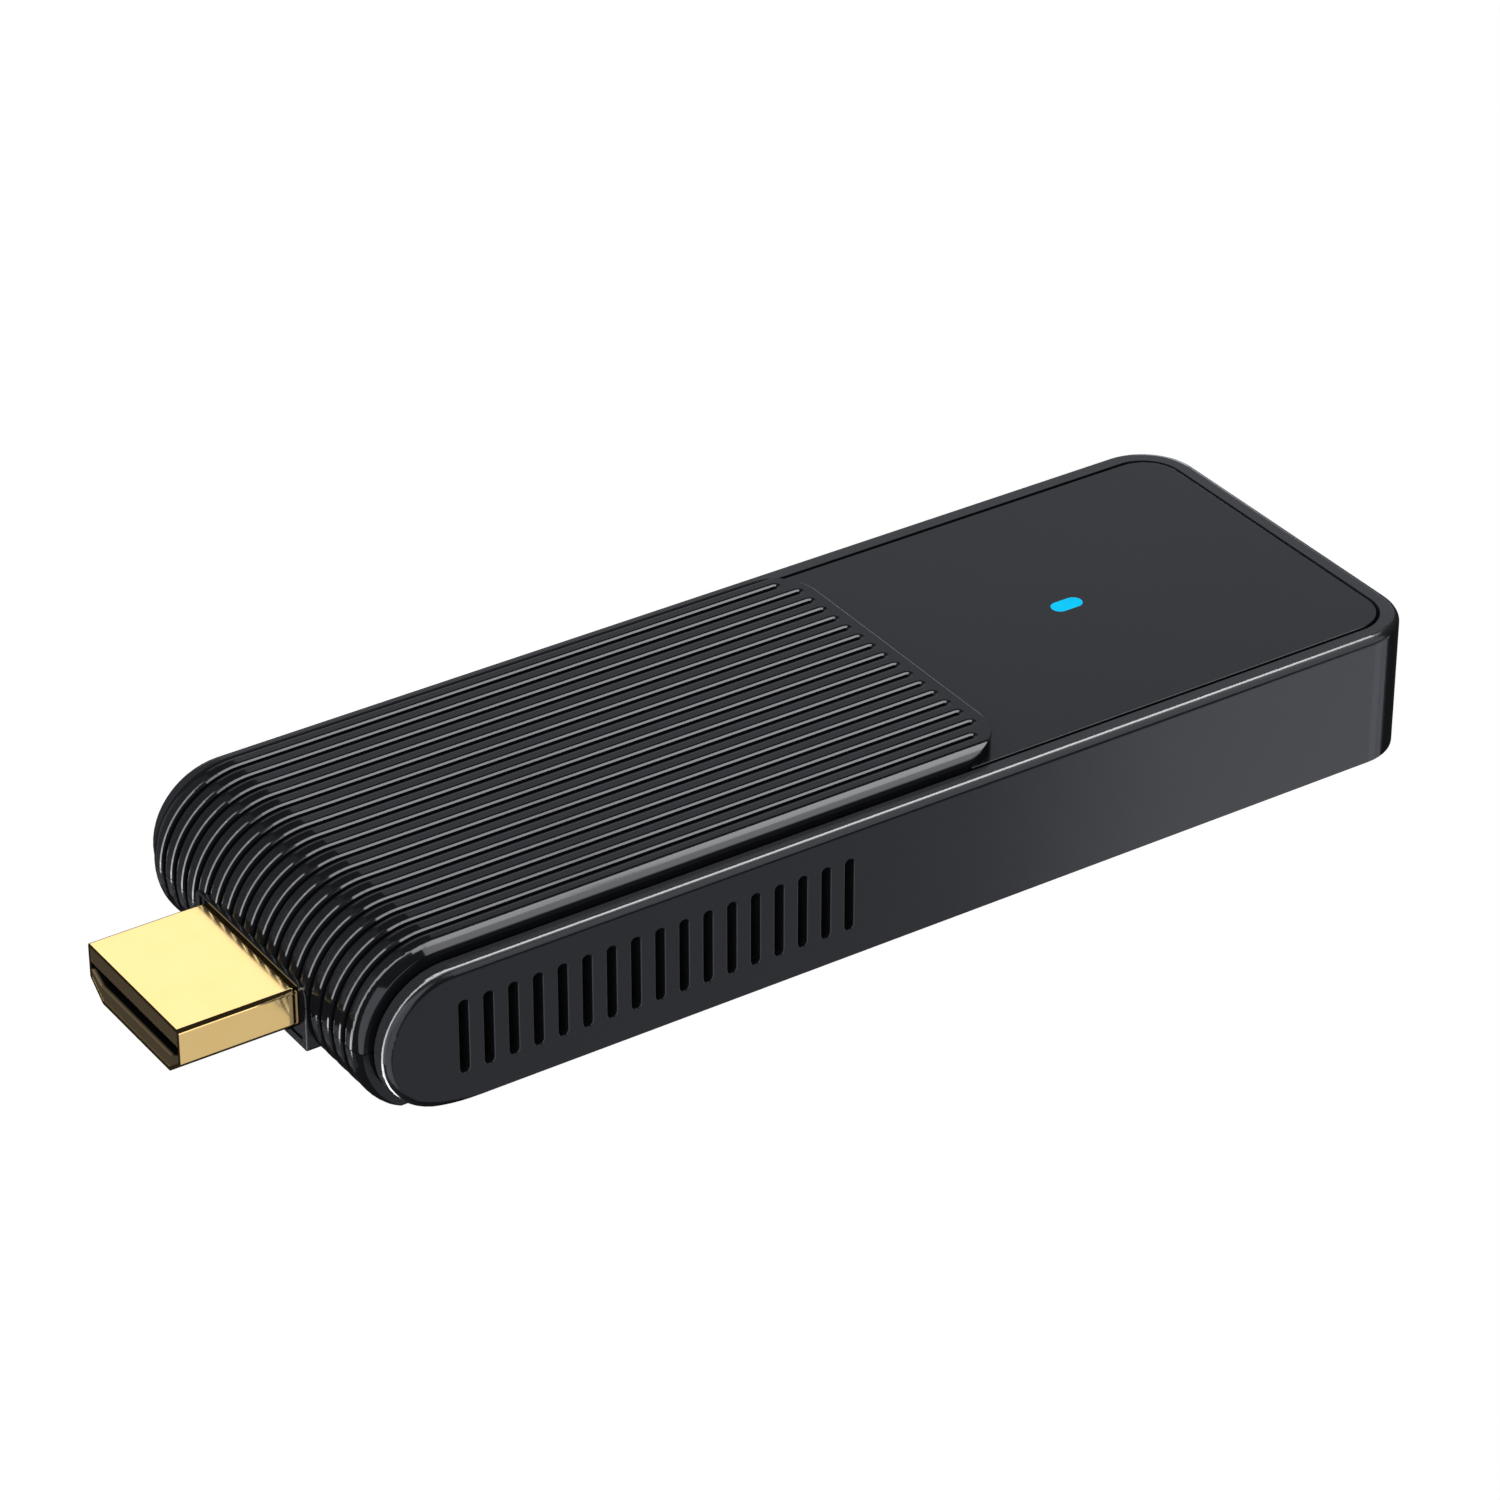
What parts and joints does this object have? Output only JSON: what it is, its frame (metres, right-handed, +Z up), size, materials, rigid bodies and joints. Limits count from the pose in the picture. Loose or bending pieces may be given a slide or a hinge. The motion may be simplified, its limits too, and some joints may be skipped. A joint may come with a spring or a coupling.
{
  "type": "streaming stick",
  "caption": "Slim media streaming stick with a ribbed wrap-around nose, gold display plug, vented side walls, smooth rear panel with a light window, and a power inlet and button at the rear.",
  "frame": {"origin": "centre of the overall box in plan, on the surface that the underside lies on", "axes": "+X from the display plug towards the rear wall, +Y across towards the far vented wall, +Z up"},
  "size_m": [0.1062, 0.0352, 0.0126],
  "materials": {
    "frame_plastic": "satin graphite, fine grain",
    "cover_plastic": "satin dark grey, moulded grooves",
    "panel_plastic": "smooth satin dark grey",
    "base_plastic": "satin dark grey",
    "bezel_plastic": "semi-gloss black",
    "plug_gold": "polished gold plating",
    "plug_insulator": "dark brown moulding",
    "contact_gold": "gold flash",
    "light_pipe": "clear tinted cyan",
    "board_laminate": "solder mask",
    "chip_black": "moulded epoxy",
    "can_steel": "tinned",
    "thermal_pad": "soft grey blue",
    "sink_aluminium": "plain machined",
    "antenna_bronze": "stamped",
    "led_resin": "clear resin",
    "black_tape": "adhesive foam",
    "socket_steel": "stamped, tinned",
    "socket_plastic": "black moulding",
    "button_plastic": "satin dark grey",
    "switch_plastic": "black moulding",
    "stem_plastic": "natural moulding",
    "crystal_can": "nickel",
    "ferrite": "moulded ferrite",
    "ceramic": "fired ceramic, tinned ends",
    "screw_steel": "black zinc"
  },
  "bodies": {
    "stick": {"side_frame": "frame_plastic", "ribbed_cover": "cover_plastic", "top_panel": "panel_plastic", "bottom_cover": "base_plastic", "panel_tape": "black_tape", "led_light_pipe": "light_pipe", "plug_bezel": "bezel_plastic", "hdmi_plug_shell": "plug_gold", "hdmi_insulator": "plug_insulator", "hdmi_contacts": "contact_gold", "main_board": "board_laminate", "system_chip": "chip_black", "memory_chips": "chip_black", "flash_chip": "chip_black", "power_chip": "chip_black", "shield_fence": "can_steel", "shield_lid": "can_steel", "chip_pad": "thermal_pad", "lid_pad": "thermal_pad", "wireless_module": "can_steel", "heat_sink": "sink_aluminium", "antennas": "antenna_bronze", "status_led": "led_resin", "crystals": "crystal_can", "inductors": "ferrite", "capacitors": "ceramic", "board_screws": "screw_steel", "power_socket_shell": "socket_steel", "power_socket_tongue": "socket_plastic", "power_socket_contacts": "contact_gold", "reset_switch": "switch_plastic"},
    "button": {"reset_button": "button_plastic", "reset_switch_stem": "stem_plastic"}
  },
  "joints": [
    {"name": "reset_press", "type": "slide", "parent": "stick", "child": "button", "axis": [-1, 0, 0], "range_m": [0, 0.00025], "stiffness_N_per_m": 6000}
  ]
}
